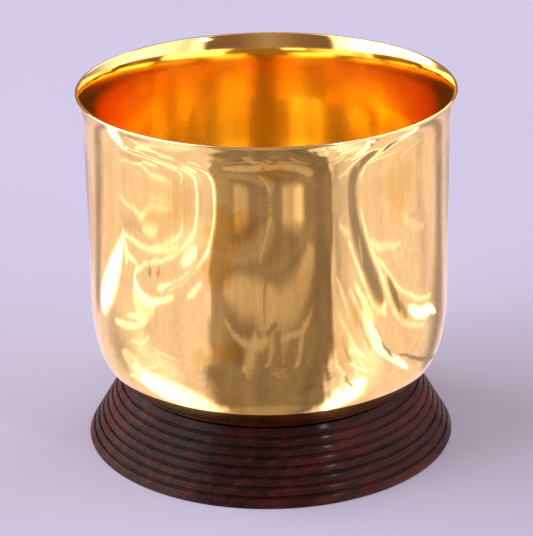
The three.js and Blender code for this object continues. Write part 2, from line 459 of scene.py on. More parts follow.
def brushed_round(material, amount):
    """Spreads highlights up and down, across brush lines that run round the bowl."""
    tree = material.node_tree
    round_axis = place(tree, "ShaderNodeTangent", direction_type="RADIAL", axis="Z").outputs[0]
    shader = tree.nodes["Principled BSDF"]
    feed(tree, shader, Anisotropic=amount, Anisotropic_Rotation=0.25, Tangent=round_axis)


def rosewood_grain_group():
    """Dark reddish wood whose grain runs across the foot, level, at 45 degrees to the front."""
    tree, given, result = new_group("rosewood_grain", {"Red": 0.5}, ["Colour", "Pores"])
    quarter_turned = {"Vector": on_object(tree), "Rotation": (0, 0, math.radians(-45))}
    turned = place(tree, "ShaderNodeMapping", quarter_turned).outputs[0]
    fibres = place(tree, "ShaderNodeMapping", {"Vector": turned, "Scale": (0.06, 1, 1)}).outputs[0]
    long_cells = place(tree, "ShaderNodeMapping", {"Vector": turned, "Scale": (0.05, 1, 1)}).outputs[0]
    broad = noise_at(tree, fibres, scale=55.0, detail=6.0, roughness=0.62, distortion=0.7)
    fine = noise_at(tree, fibres, scale=420.0, detail=3.0, roughness=0.6)
    grain = maths(tree, "ADD", times(tree, broad, 0.55), times(tree, fine, 0.45))
    pores = remap(tree, noise_at(tree, long_cells, scale=1500.0), 0.58, 0.70)
    ramp = place(tree, "ShaderNodeValToRGB", {"Fac": grain})
    stops = ramp.color_ramp.elements
    stops[0].position, stops[0].color = 0.38, rgb(0.0055, 0.0026, 0.0024)
    stops[1].position, stops[1].color = 0.66, rgb(0.075, 0.0155, 0.0100)
    stops.new(0.50).color = rgb(0.023, 0.0066, 0.0050)
    redder = blend(tree, given["Red"], ramp.outputs[0], rgb(1.25, 0.85, 0.75), "MULTIPLY")
    colour = blend(tree, times(tree, pores, 0.75), redder, rgb(0.008, 0.0038, 0.0034))
    feed(tree, result, Colour=colour, Pores=pores)
    return tree


ROSEWOOD_GRAIN = rosewood_grain_group()


def waxed_rosewood(name, red, roughness, line_height, coat):
    material, tree, shader = new_material(name)
    grain = use_group(tree, ROSEWOOD_GRAIN, Red=red)
    wax = use_group(tree, CLOUDS, Patch_Size=14 * MM, Shift=5.5, From=0.4, To=0.7)["Mask"]
    lines = use_group(tree, TURNING_LINES, Spacing=0.25 * MM, Drift=0.3)["Lines"]
    rough = maths(tree, "ADD", roughness, times(tree, wax, 0.12))
    rough = maths(tree, "ADD", rough, times(tree, grain["Pores"], 0.2))
    relief = maths(tree, "SUBTRACT", lines, times(tree, grain["Pores"], 2.0))
    feed(tree, shader, Base_Color=grain["Colour"], Roughness=rough, Normal=bumped(tree, relief, line_height),
         Coat_Weight=coat, Coat_Roughness=0.12, Specular_IOR_Level=0.08)
    return material


def plain_metal(name, clean, tarnished, roughness):
    line_height = 0.003 * MM
    material, tree, shader = new_material(name)
    dull = use_group(tree, CLOUDS, Patch_Size=5 * MM, Shift=2.2, From=0.4, To=0.75)["Mask"]
    lines = use_group(tree, TURNING_LINES, Spacing=0.15 * MM, Drift=0.4)["Lines"]
    colour = blend(tree, dull, clean, tarnished)
    rough = maths(tree, "ADD", roughness, times(tree, dull, 0.2))
    relief = bumped(tree, lines, line_height)
    feed(tree, shader, Base_Color=colour, Metallic=1.0, Roughness=rough, Normal=relief)
    return material


GILT_OUTSIDE = gilding(
    "gilt_outside", rgb(0.98, 0.705, 0.26), rgb(0.92, 0.51, 0.10), rgb(0.98, 0.735, 0.31),
    roughness=0.045, spread=0.015, line_spacing=0.35 * MM, patches=TARNISH_PATCHES)
GILT_LIP = gilding(
    "gilt_inside_the_lip", rgb(0.955, 0.73, 0.25), rgb(0.93, 0.63, 0.17), rgb(0.965, 0.77, 0.29),
    roughness=0.075, spread=0.02)
GILT_BURNISHED = gilding(
    "gilt_burnished", rgb(0.945, 0.735, 0.25), rgb(0.925, 0.645, 0.18), rgb(0.96, 0.765, 0.29),
    roughness=0.125, spread=0.03)
GILT_INSIDE = gilding(
    "gilt_inside", rgb(0.945, 0.715, 0.20), rgb(0.915, 0.625, 0.150), rgb(0.96, 0.74, 0.25),
    roughness=0.11, spread=0.035)
brushed_round(GILT_INSIDE, 0.85)
WAXED_WOOD = waxed_rosewood("waxed_rosewood", red=0.6, roughness=0.45, line_height=0.010 * MM, coat=0.06)
PLAIN_WOOD = waxed_rosewood("rosewood_underside", red=0.3, roughness=0.55, line_height=0.03 * MM, coat=0.0)
SILVER = plain_metal("plain_silver", rgb(0.74, 0.72, 0.68), rgb(0.40, 0.37, 0.32), 0.30)
BRASS = plain_metal("hardware_brass", rgb(0.72, 0.52, 0.24), rgb(0.34, 0.22, 0.10), 0.28)


# The bowl

def ripple(at):
    """How far the hand-finished sheet stands out from the true form at a place, in metres."""
    return sum(height * noise.noise(at / length + Vector(start)) for length, height, start in RIPPLES)


def rippled(point, normal, angle, strength):
    at = Vector((point.x * math.cos(angle), point.x * math.sin(angle), point.y))
    moved = point + normal * ripple(at) * strength
    return (moved.x, moved.y)


def inside_of(point, normal):
    """The inner face across from a place on the outer one. It is straight up to the burnish line,
    opens slightly above it, and turns out faster above a soft break just under the rim."""
    across = point - normal * SHEET
    if across.y < RIM_HEIGHT / 2:
        return across

    # Above the break the heading grows evenly with height, up to the lip's own angle
    rim_inside = rim_centre - normal_of(LIP_ANGLE) * SHEET / 2
    straight = wall_radius - SHEET
    break_height = RIM_HEIGHT - INSIDE_BREAK_DEPTH
    quick = (rim_inside.y - break_height) / (LIP_ANGLE - INSIDE_BREAK_HEADING)
    rim_fall = math.log(math.cos(LIP_ANGLE))
    if across.y > break_height:
        heading = INSIDE_BREAK_HEADING + (across.y - break_height) / quick
        return Vector((rim_inside.x - quick * (math.log(math.cos(heading)) - rim_fall), across.y))

    # Below it, two eased slopes make up the rest of the way in from the rim
    above = quick * (math.log(math.cos(INSIDE_BREAK_HEADING)) - rim_fall)
    break_slope = math.tan(INSIDE_BREAK_HEADING)
    below = rim_inside.x - straight - above
    opening_height = break_height - BURNISH_LINE_HEIGHT
    gentle = (below - INSIDE_BREAK_EASING * break_slope) / (opening_height - INSIDE_BREAK_EASING)
    past_line = (across.y - BURNISH_LINE_HEIGHT) / BURNISH_LINE_EASING
    opened = gentle * BURNISH_LINE_EASING * math.log1p(math.exp(past_line))
    turned = (break_slope - gentle) * math.exp((across.y - break_height) / INSIDE_BREAK_EASING)
    return Vector((straight + opened + turned * INSIDE_BREAK_EASING, across.y))


def make_bowl():
    wall = trace(floor_edge, body_turns + [Step(0, 0, length=wall_height)] + lip_turns, BOWL_ROW_SPACING)
    floor_radii = [floor_edge.x * i / BOWL_FLOOR_ROWS for i in range(BOWL_FLOOR_ROWS)]
    down = Vector((0, -1))
    rim_angles = (82, 100, 120, 140, 160, 180, 200, 220, 237)
    rim = [on_circle(rim_centre, SHEET / 2, math.radians(angle)) for angle in rim_angles]

    def outline_at(angle):
        rows = [(radius, FLOOR_UNDERSIDE) for radius in floor_radii]
        inner = []
        for point, normal in wall:
            past_seat = min(1, max(0, (point.y - FOOT_HEIGHT) / RIPPLE_FADE_AT_SEAT))
            below_rim = min(1, max(0, (lip_end.y - point.y) / RIPPLE_FADE_AT_RIM))
            strength = past_seat * below_rim
            rows.append(rippled(point, normal, angle, strength))
            inner.append(rippled(inside_of(point, normal), normal, angle, strength))
        rows += [(point.x, point.y) for point in rim]
        rows += reversed(inner)
        for radius in reversed(floor_radii):
            point = Vector((radius, FLOOR_UNDERSIDE + SHEET))
            rows.append(rippled(point, down, angle, RIPPLE_ON_FLOOR if radius else 0))
        return rows

    inside_from = len(floor_radii) + len(wall) + len(rim)
    burnished_from = inside_from + sum(1 for point, normal in wall if point.y > LIP_POLISH_HEIGHT)
    brushed_from = inside_from + sum(1 for point, normal in wall if point.y > BURNISH_LINE_HEIGHT)

    def slot_of_row(row):
        return sum(row >= first for first in (inside_from, burnished_from, brushed_from))

    finishes = [GILT_OUTSIDE, GILT_LIP, GILT_BURNISHED, GILT_INSIDE]
    bowl = revolve("bowl_shell", outline_at, BOWL_COLUMNS, finishes, slot_of_row)
    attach(bowl, "root")
    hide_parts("bowl")


# The foot

def flank_rows(bottom, top):
    """The sloping side: slightly crowned bands with a rounded groove between each two."""
    length = (top - bottom).length
    along = (top - bottom) / length
    outward = Vector((along.y, -along.x))
    band = length / BAND_COUNT
    count = round(length / FOOT_ROW_SPACING)
    rows = []
    for i in range(count + 1):
        distance = length * i / count
        share = distance / band
        nearest = min(BAND_COUNT - 1, max(1, round(share)))
        off_groove = abs(share - nearest) * band
        groove = math.exp(-(off_groove / GROOVE_HALF_WIDTH) ** 4)
        crown = math.sin(math.pi * (share % 1)) * BAND_CROWN
        rows.append(bottom + along * distance + outward * (crown * (1 - groove) - GROOVE_DEPTH * groove))
    return rows


def make_foot():
    seat_radius = LOWER_TURN_RADIUS + SEAT_CLEARANCE
    seat_start = math.acos(LOWER_TURN_RADIUS / seat_radius)
    seat_end = math.acos((lower_turn_centre.y - FOOT_HEIGHT) / seat_radius)
    seat = [
        on_circle(lower_turn_centre, seat_radius, seat_end + (seat_start - seat_end) * i / SEAT_STEPS)
        for i in range(SEAT_STEPS + 1)
    ]
    top_radius = seat[0].x + SEAT_LAND
    edge_centre = Vector((FOOT_RADIUS - FOOT_EDGE, FOOT_EDGE))
    edge = [on_circle(edge_centre, FOOT_EDGE, math.radians(angle)) for angle in (0, 22, 45, 67, 90)]
    flank = flank_rows(Vector((FOOT_RADIUS, FOOT_EDGE)), Vector((top_radius, FOOT_HEIGHT)))
    counterbore = washer_high.x + BORE_CLEARANCE
    bore = stud_high.x + BORE_CLEARANCE
    pocket = disc_high.x + BORE_CLEARANCE
    pocket_floor = disc_low.z - BORE_CLEARANCE
    mouth = counterbore + COUNTERBORE_BEVEL
    underside = [
        Vector((mouth + (edge_centre.x - mouth) * i / UNDERSIDE_ROWS, 0)) for i in range(UNDERSIDE_ROWS)
    ]
    inside = [
        Vector((pocket, FLOOR_UNDERSIDE)), Vector((pocket, pocket_floor)), Vector((bore, pocket_floor)),
        Vector((bore, washer_high.z)), Vector((counterbore, washer_high.z)),
        Vector((counterbore, COUNTERBORE_BEVEL)),
    ]
    outline = [(point.x, point.y) for point in underside + edge + flank[1:] + seat + inside]
    hidden_from = len(outline) - len(inside) - len(seat)

    def slot_of_row(row):
        return 1 if row < UNDERSIDE_ROWS - 1 or row >= hidden_from + SEAT_STEPS else 0

    foot = revolve("turned_foot", lambda angle: outline, FOOT_COLUMNS, [WAXED_WOOD, PLAIN_WOOD], slot_of_row)
    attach(foot, "root")
    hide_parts("wooden_foot")


# The fastening under the bowl

def make_ring(name, low, high, hole_clearance, bevel, material, node):
    bottom, top, radius = low.z, high.z, high.x
    hole_radius = stud_high.x + hole_clearance
    outline = [
        (hole_radius, bottom + bevel), (hole_radius + bevel, bottom), (radius - bevel, bottom),
        (radius, bottom + bevel), (radius, top - bevel), (radius - bevel, top),
        (hole_radius + bevel, top), (hole_radius, top - bevel),
    ]
    ring = revolve(name, lambda angle: outline, HARDWARE_COLUMNS, [material], sharp_angle=math.radians(30))
    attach(ring, "root")
    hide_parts(node)


def make_stud():
    """A stud whose lower part has a real helical thread, fading out into a plain shank."""
    radius = stud_high.x
    thread_top = washer_high.z + THREAD_PAST_WASHER
    thread_rows = round((thread_top - stud_low.z) / THREAD_PITCH * THREAD_ROWS_PER_TURN)

    def outline_at(angle):
        rows = [(0, stud_low.z)]
        for i in range(thread_rows + 1):
            height = stud_low.z + (thread_top - stud_low.z) * i / thread_rows
            phase = (height / THREAD_PITCH - angle / (2 * math.pi)) % 1
            cut = abs(2 * phase - 1) * THREAD_DEPTH
            lead = max(0, 1 - (height - stud_low.z) / LEAD_LENGTH) * LEAD_DEPTH
            runout = min(1, (thread_top - height) / THREAD_PITCH)
            rows.append((radius - max(cut * runout, lead), height))
        rows += [(radius, stud_high.z), (0, stud_high.z)]
        return rows

    stud = revolve("threaded_stud", outline_at, HARDWARE_COLUMNS, [SILVER], sharp_angle=math.radians(60))
    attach(stud, "root")
    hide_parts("stud")


def make_nut():
    """A hexagon nut whose corners are chamfered by a cone, so that each flat ends in an arc."""
    half_flats = min(nut_high.x, nut_high.y)
    hole_radius = stud_high.x + NUT_HOLE_CLEARANCE
    face = half_flats - NUT_FACE_INSET
    half_side = math.radians(30)
    chamfer_slope = math.tan(math.radians(30))

    def outline_at(angle):
        from_flat = angle % (2 * half_side) - half_side
        side = half_flats / math.cos(from_flat)
        drop = (side - half_flats) * chamfer_slope + NUT_EDGE_ROUNDING
        return [
            (hole_radius, nut_low.z + NUT_HOLE_BEVEL), (hole_radius + NUT_HOLE_BEVEL, nut_low.z),
            (face, nut_low.z), (side, nut_low.z + drop), (side, nut_high.z - drop), (face, nut_high.z),
            (hole_radius + NUT_HOLE_BEVEL, nut_high.z), (hole_radius, nut_high.z - NUT_HOLE_BEVEL),
        ]

    nut = revolve("hexagon_nut", outline_at, HARDWARE_COLUMNS, [BRASS], sharp_angle=math.radians(25))
    nut.data.transform(Matrix.Rotation(half_side, 4, UP))
    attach(nut, "root")
    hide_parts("nut")


# The set

FLOOR_COLOUR = rgb(0.435, 0.435, 0.575)
BACKDROP_COLOUR = rgb(0.70, 0.69, 0.86)

# Painted reflection: light and shade laid out like cloth in folds round the bowl, which the floor glows with
# for the polished wall to mirror. It lies open and light except for a painted shaded part in front. All
# lengths and places on it are in millimetres.
SATIN_LIGHT_TINT = (1.0, 0.82, 0.98)
SHADE_TINT = (1.0, 0.74, 0.66)
SATIN_LIGHT = 1.0
FAR_LIGHT = 0.85
SHADE_LIGHT = 0.285
SATIN_REACH = 345
SATIN_SPACING = 1.5
FLOOR_REACH = 20 * SATIN_REACH

# Past the first radius the cloth fades to the even far light, over the second length
FAR_CLOTH = (325, 30)

# Creases that shift the folds: size, reach and start of each wave, to the right and to the back.
# They are full near the foot, and past the calm radius only the calm share of them is left.
CREASES_RIGHT = ((34, 9, 0.3), (7, 2.5, 4.1))
CREASES_BACK = ((34, 9, 7.7), (7, 2.5, 9.4))
CALM_RADIUS, CALM_WIDTH, CALM_SHARE = 270, 110, 0.2
# The light folds take only a part of that shift
FOLD_SHIFT_SHARE = 0.3

# Streaks of painted light that run out from the foot: how closely they stand, how long they are, how strong.
# The finer ones also shift the pattern sideways.
STREAKS = ((9, 75, 0.10), (34, 50, 0.045))
STREAK_SHIFT = 5

# How softly the shaded part ends, and how much more softly at its near left side
SHADE_EDGE, SHADE_EDGE_LEFT = 9, 11
SHADE_LEFT_WIDTH, SHADE_NEAR_RADIUS, SHADE_NEAR_WIDTH = 30, 235, 60

# Each band of painted light and shade is a brightness and the places that it runs through: right, back and
# half width

BROAD_LIGHT = (
    (0.50, ((-350, 215, 75), (-286, 178, 62), (-246, 158, 50), (-190, 128, 36), (-140, 95, 24))),
    (0.66, ((-150, 20, 45), (-125, 0, 35), (-110, -10, 25))),
    (0.43, ((350, 235, 75), (262, 196, 66), (225, 163, 56), (180, 121, 50), (140, 75, 50), (110, 40, 40),
           (90, 20, 22))),
    (0.80, ((310, 60, 40), (250, 60, 30), (200, 40, 22))),
    (0.55, ((-120, 260, 150), (0, 300, 150), (120, 260, 150))),
    (1.45, ((-160, -40, 20), (-130, -60, 35), (-105, -70, 35))),
    (0.80, ((150, -180, 30), (190, -212, 34), (215, -240, 30))),
    (0.60, ((214, -270, 16), (190, -240, 18), (170, -212, 14), (150, -190, 8))),
    (0.60, ((170, -270, 24), (215, -262, 24), (250, -240, 16))),
    (1.55, ((40, -62, 14), (80, -72, 26), (115, -85, 34), (150, -105, 30), (170, -130, 18))),
    (1.25, ((-240, -160, 14), (-215, -195, 24), (-190, -240, 26))),
    (0.84, ((-284, 10, 20), (-290, -40, 18), (-284, -62, 12))),
    (1.15, ((-326, 0, 8), (-324, -60, 8), (-310, -120, 8))),
)

# The outline of the shaded part in front, as places to the right and to the back
SHADED_FRONT = (
    (-14, -60), (-24, -67), (-45, -80), (-60, -96), (-80, -116), (-90, -138), (-98, -160), (-112, -170),
    (-116, -190), (-127, -206), (-143, -217), (-150, -242), (-154, -268), (-163, -300), (-178, -345),
    (235, -345), (212, -290), (196, -267), (181, -249), (166, -233), (149, -212), (130, -190), (112, -169),
    (97, -152), (80, -130), (64, -108), (50, -89), (38, -76), (26, -66), (14, -60),
)
# Light folds inside the shaded part
SHADED_LIGHT = (
    (0.42, ((-8, -68, 20), (4, -78, 16))),
    (0.40, ((-26, -128, 5), (-28, -150, 9), (-30, -178, 8))),
    (0.54, ((-31, -138, 2), (-34, -160, 5), (-32, -178, 8), (-24, -194, 10))),
    (0.47, ((-9, -168, 2), (-7, -180, 6), (2, -192, 8), (6, -206, 7))),
    (0.43, ((18, -174, 2), (22, -184, 6), (28, -194, 8), (30, -204, 7))),
    (0.48, ((38, -156, 2), (46, -172, 5), (55, -186, 7), (66, -200, 6))),
    (0.60, ((-86, -196, 3), (-66, -190, 5), (-46, -187, 6), (-26, -191, 7), (-6, -198, 6))),
    (0.62, ((-98, -226, 14), (-70, -232, 30), (-30, -234, 34), (0, -236, 28))),
    (0.57, ((-10, -218, 22), (30, -226, 30), (72, -238, 30), (112, -262, 18))),
    (0.60, ((22, -194, 3), (40, -198, 4), (68, -196, 4), (90, -206, 4))),
    (0.42, ((-100, -268, 16), (-60, -285, 22), (-20, -300, 26), (10, -320, 20))),
    (0.60, ((-24, -278, 3), (-10, -302, 5), (8, -332, 5))),
    (0.36, ((16, -142, 8), (24, -160, 6))),
    (0.33, ((-36, -264, 4), (8, -272, 8), (60, -281, 9), (150, -288, 10))),
    (0.23, ((0, -204, 5), (14, -210, 6))),
    (0.34, ((-9, -214, 2.5), (-12, -236, 3.5), (-4, -262, 3))),
    (0.25, ((96, -196, 18), (128, -222, 28), (148, -252, 26))),
    (0.24, ((40, -110, 16), (70, -146, 18), (100, -180, 18))),
)

# Broad lighter haze below those
SHADED_HAZE = (
    (0.46, ((-92, -160, 40), (-120, -210, 48), (-140, -270, 56), (-150, -320, 60))),
    (0.66, ((-96, -316, 26), (-80, -328, 28))),
    (0.72, ((58, -330, 22), (92, -320, 34))),
    (1.15, ((90, -324, 10), (103, -318, 16))),
)

PAINTED_FOLD_LIGHTS = (
    (1.9, ((-268, 14, 5), (-256, 4, 10), (-244, -2, 8))),
    (3.6, ((-276, 17, 2), (-262, 20, 8), (-240, 31, 19), (-214, 46, 27), (-186, 60, 27), (-164, 70, 20),
           (-156, 74, 8))),
    (2.2, ((-273, 12, 3), (-271, -20, 4), (-265, -50, 4), (-257, -80, 4), (-250, -105, 4), (-241, -130, 4),
           (-232, -152, 4), (-224, -174, 3))),
    (2.3, ((-262, 6, 5), (-250, -10, 4), (-246, -30, 4), (-242, -40, 3))),
    (1.9, ((-257, -92, 3), (-249, -124, 4.5), (-241, -155, 5), (-233, -184, 5), (-234, -202, 4),
           (-250, -210, 2))),
    (1.7, ((-226, -30, 5), (-206, -34, 12), (-193, -52, 14), (-189, -76, 9))),
    (2.1, ((-235, -36, 4), (-240, -60, 4), (-240, -80, 4), (-236, -105, 3.5), (-228, -135, 3.5),
           (-219, -165, 3.5), (-213, -190, 3.5), (-208, -215, 4))),
    (2.7, ((-208, -212, 3), (-206, -230, 5), (-212, -246, 5), (-220, -266, 4))),
    (3.0, ((-238, -38, 2), (-231, -31, 4), (-220, -34, 6), (-207, -49, 8), (-198, -70, 7), (-193, -94, 4),
           (-188, -118, 3), (-184, -132, 2))),
    (2.9, ((-207, -98, 3), (-200, -120, 5), (-191, -148, 5), (-182, -176, 4.5), (-174, -200, 4.5),
           (-165, -224, 4.5), (-160, -240, 4.5), (-162, -264, 4), (-171, -296, 4), (-184, -330, 4))),
    (1.5, ((-205, -160, 3), (-203, -188, 5), (-201, -216, 4))),
    (0.80, ((-200, -112, 2), (-195, -135, 3), (-186, -162, 3), (-178, -188, 3), (-171, -214, 3),
           (-166, -240, 3))),
    (2.7, ((-199, -174, 4), (-193, -196, 10), (-187, -214, 6))),
    (2.0, ((-162, -162, 3), (-158, -178, 6), (-152, -196, 3))),
    (2.3, ((-185, -8, 2), (-187, -30, 4), (-184, -50, 4), (-180, -62, 2))),
    (2.0, ((-168, 22, 3), (-172, 0, 5), (-176, -24, 5), (-180, -58, 4))),
    (1.8, ((-161, -24, 3), (-160, -45, 3), (-164, -62, 2))),
    (1.9, ((-108, -22, 3), (-109, -40, 5), (-111, -58, 3))),
    (2.0, ((-94, -16, 3), (-95, -36, 5), (-97, -56, 4))),
    (1.45, ((-124, -14, 16), (-106, -32, 22), (-88, -46, 24))),
    (1.9, ((-108, -28, 10), (-96, -38, 15), (-84, -46, 16))),
    (3.8, ((-94, -40, 12), (-73, -53, 24), (-52, -63, 22), (-33, -68, 12))),
    (1.8, ((-284, -68, 5), (-278, -90, 12), (-270, -118, 7))),
    (1.8, ((-317, 34, 3), (-312, 0, 4), (-311, -30, 4), (-303, -52, 6), (-298, -66, 8), (-304, -84, 7),
           (-306, -104, 6), (-298, -132, 6), (-286, -160, 5), (-274, -184, 3))),
    (0.8, ((-240, -214, 3), (-246, -228, 6), (-236, -240, 5))),
    (3.8, ((146, 64, 2), (156, 56, 5), (166, 40, 7.5), (175, 18, 8), (183, -2, 8), (189, -17, 3))),
    (1.9, ((172, 58, 2), (186, 30, 3), (198, 0, 3.5), (206, -25, 3.5), (214, -48, 4), (223, -68, 4),
           (231, -90, 4), (235, -112, 3))),
    (1.6, ((160, 22, 2), (170, -10, 4), (179, -38, 4), (188, -56, 4))),
    (1.7, ((180, -44, 4), (192, -62, 6), (207, -80, 6), (222, -101, 6), (233, -126, 6), (242, -150, 5))),
    (0.55, ((182, -24, 4), (190, -32, 6), (196, -38, 4))),
    (0.34, ((192, -42, 6), (203, -54, 10), (214, -68, 8), (223, -80, 2))),
    (2.0, ((193, -80, 3), (182, -90, 4), (182, -107, 4), (189, -128, 4), (197, -152, 4), (203, -178, 3.5),
           (210, -202, 3))),
    (1.9, ((208, -86, 3), (224, -107, 4), (233, -125, 4.5), (243, -149, 4.5), (253, -170, 4.5),
           (262, -190, 4))),
    (0.40, ((194, -88, 7), (200, -105, 15), (209, -122, 18), (217, -144, 20), (225, -166, 21),
           (234, -190, 22), (246, -214, 22), (262, -238, 20))),
    (0.70, ((213, -156, 3), (220, -166, 6), (230, -180, 3))),
    (1.6, ((264, -40, 3), (260, -62, 5), (257, -85, 6), (250, -108, 7), (245, -134, 8), (243, -156, 4))),
    (1.2, ((252, -28, 2), (248, -50, 4), (247, -72, 3))),
    (1.18, ((262, 62, 4), (272, 32, 8), (285, 0, 10), (299, -34, 7))),
    (0.85, ((278, 56, 3), (288, 24, 5), (292, -2, 3))),
    (1.45, ((216, -206, 3), (212, -216, 6), (204, -236, 4))),
    (3.8, ((32, -60, 5), (46, -68, 15), (62, -75, 17), (78, -74, 9))),
    (1.9, ((166, -168, 2), (165, -130, 4), (156, -92, 2))),
    (1.8, ((131, -168, 2), (128, -126, 4), (99, -82, 2))),
    (1.6, ((131, -146, 2), (112, -112, 4), (80, -84, 2))),
    (1.6, ((101, -150, 2), (79, -107, 4), (58, -80, 2))),
    (1.5, ((153, -198, 2), (150, -172, 4), (143, -140, 2))),
    (0.70, ((158, -160, 2), (152, -128, 3), (140, -98, 2))),
    (0.70, ((120, -150, 2), (110, -124, 3), (92, -98, 2))),
    (1.4, ((-150, -70, 4), (-140, -84, 6), (-124, -98, 4))),
    (3.2, ((100, -22, 3), (112, -36, 7), (126, -56, 8), (142, -78, 9), (155, -98, 9), (163, -120, 6),
           (168, -142, 3))),
    (0.50, ((124, -50, 2), (133, -58, 4), (145, -68, 4.5), (153, -80, 3))),
    (0.75, ((157, -84, 2), (162, -92, 3), (164, -98, 2))),
    (0.70, ((164, -122, 2), (167, -136, 3.5), (172, -154, 3))),
    (2.5, ((118, -92, 2), (124, -104, 4), (126, -116, 4), (119, -130, 3))),
    (2.3, ((94, -80, 3), (97, -96, 4), (102, -112, 3))),
    (0.62, ((68, -76, 1.5), (71, -88, 3), (76, -98, 2))),
    (2.6, ((171, -104, 2), (175, -124, 4), (178, -146, 4), (180, -160, 2))),
    (2.2, ((182, -78, 3), (186, -84, 5), (192, -80, 3))),
    (0.40, ((72, 48, 2), (88, 26, 4), (104, 2, 4), (118, -20, 4), (128, -40, 2))),
)


def along_curve(places, steps=6):
    """Places joined by a smooth curve through all of them."""
    knots = np.array([places[0], *places, places[-1]], float)
    share = np.linspace(0, 1, steps, endpoint=False)[:, None]
    spans = []
    for before, here, there, after in zip(knots, knots[1:], knots[2:], knots[3:]):
        bend = 2 * before - 5 * here + 4 * there - after
        twist = 3 * here - before - 3 * there + after
        spans.append(here + 0.5 * share * ((there - before) + share * (bend + share * twist)))
    return np.vstack(spans + [knots[-1:]])


def eased(share):
    share = np.clip(share, 0, 1)
    return share * share * (3 - 2 * share)


def off_line(ground, start, end):
    """How far each place lies from a line between two places, and how far along it."""
    run = np.array(end, float) - start
    share = np.clip((ground - start) @ run / (run @ run), 0, 1)
    return np.hypot(*(ground - start - share[:, None] * run).T), share


def laid_over(light, ground, folds, softness):
    """The light on the cloth after each fold is laid over what was there before."""
    light = light.copy()
    for level, places in folds:
        curve = along_curve(places)
        widest = curve[:, 2].max()
        low, high = curve.min(axis=0)[:2] - widest, curve.max(axis=0)[:2] + widest
        near = np.flatnonzero(np.all((ground > low) & (ground < high), axis=1))
        close = ground[near]
        nearest = np.full(len(close), np.inf)
        for start, end in zip(curve, curve[1:]):
            off, share = off_line(close, start[:2], end[:2])
            nearest = np.minimum(nearest, off / (start[2] + (end[2] - start[2]) * share))
        light[near] += (level - light[near]) * eased((1 - nearest) / softness)
    return light


def inside_outline(ground, outline, softness):
    """How far inside a closed outline each place lies, from 0 outside to 1 well inside."""
    inside = np.zeros(len(ground), bool)
    nearest = np.full(len(ground), np.inf)
    for start, end in zip(outline, outline[1:] + outline[:1]):
        nearest = np.minimum(nearest, off_line(ground, start, end)[0])
        straddles = (ground[:, 1] > start[1]) != (ground[:, 1] > end[1])
        rise = end[1] - start[1] or 1
        crossing = start[0] + (ground[:, 1] - start[1]) * (end[0] - start[0]) / rise
        inside ^= straddles & (ground[:, 0] < crossing)
    return eased(0.5 + np.where(inside, nearest, -nearest) / softness)


def painted_satin_reflection(places):
    """The painted reflection at each place on the floor: the light and shade that the floor glows with for
    the metal to mirror.
    """
    def crease(x, y, waves):
        return sum(reach * noise.noise((x / size, y / size, start)) for size, reach, start in waves)

    def streak(x, y, out):
        return [
            noise.noise((close * x / out, close * y / out, out / length))
            for close, length, strength in STREAKS
        ]

    out = np.hypot(*np.array(places).T)
    creases = np.array([(crease(x, y, CREASES_RIGHT), crease(x, y, CREASES_BACK)) for x, y in places])
    streaks = np.array([streak(x, y, far_out) for (x, y), far_out in zip(places, np.maximum(out, 1))])
    ground = places + creases * np.clip((CALM_RADIUS - out) / CALM_WIDTH, CALM_SHARE, 1)[:, None]
    ground[:, 0] += STREAK_SHIFT * streaks[:, 1]
    steady = np.array(places) * (1 - FOLD_SHIFT_SHARE) + ground * FOLD_SHIFT_SHARE

    light = laid_over(np.full(len(ground), SATIN_LIGHT), steady, BROAD_LIGHT, 0.95)
    far_radius, far_width = FAR_CLOTH
    light += (FAR_LIGHT - light) * np.clip((np.hypot(*steady.T) - far_radius) / far_width, 0, 1)
    light = laid_over(light, steady, PAINTED_FOLD_LIGHTS, 0.6)
    shaded = laid_over(np.full(len(ground), SHADE_LIGHT), ground, SHADED_HAZE, 1.0)
    shaded = laid_over(shaded, ground, SHADED_LIGHT, 0.7)

    left = np.clip(-ground[:, 0] / SHADE_LEFT_WIDTH, 0, 1)
    near = np.clip((SHADE_NEAR_RADIUS - out) / SHADE_NEAR_WIDTH, 0, 1)
    in_shade = inside_outline(ground, SHADED_FRONT, SHADE_EDGE + SHADE_EDGE_LEFT * left * near)[:, None]
    streaked = 1 + streaks @ [strength for close, length, strength in STREAKS]
    lit = (light * streaked)[:, None] * SATIN_LIGHT_TINT
    return lit + ((shaded * (2 * streaked - 1))[:, None] * SHADE_TINT - lit) * in_shade


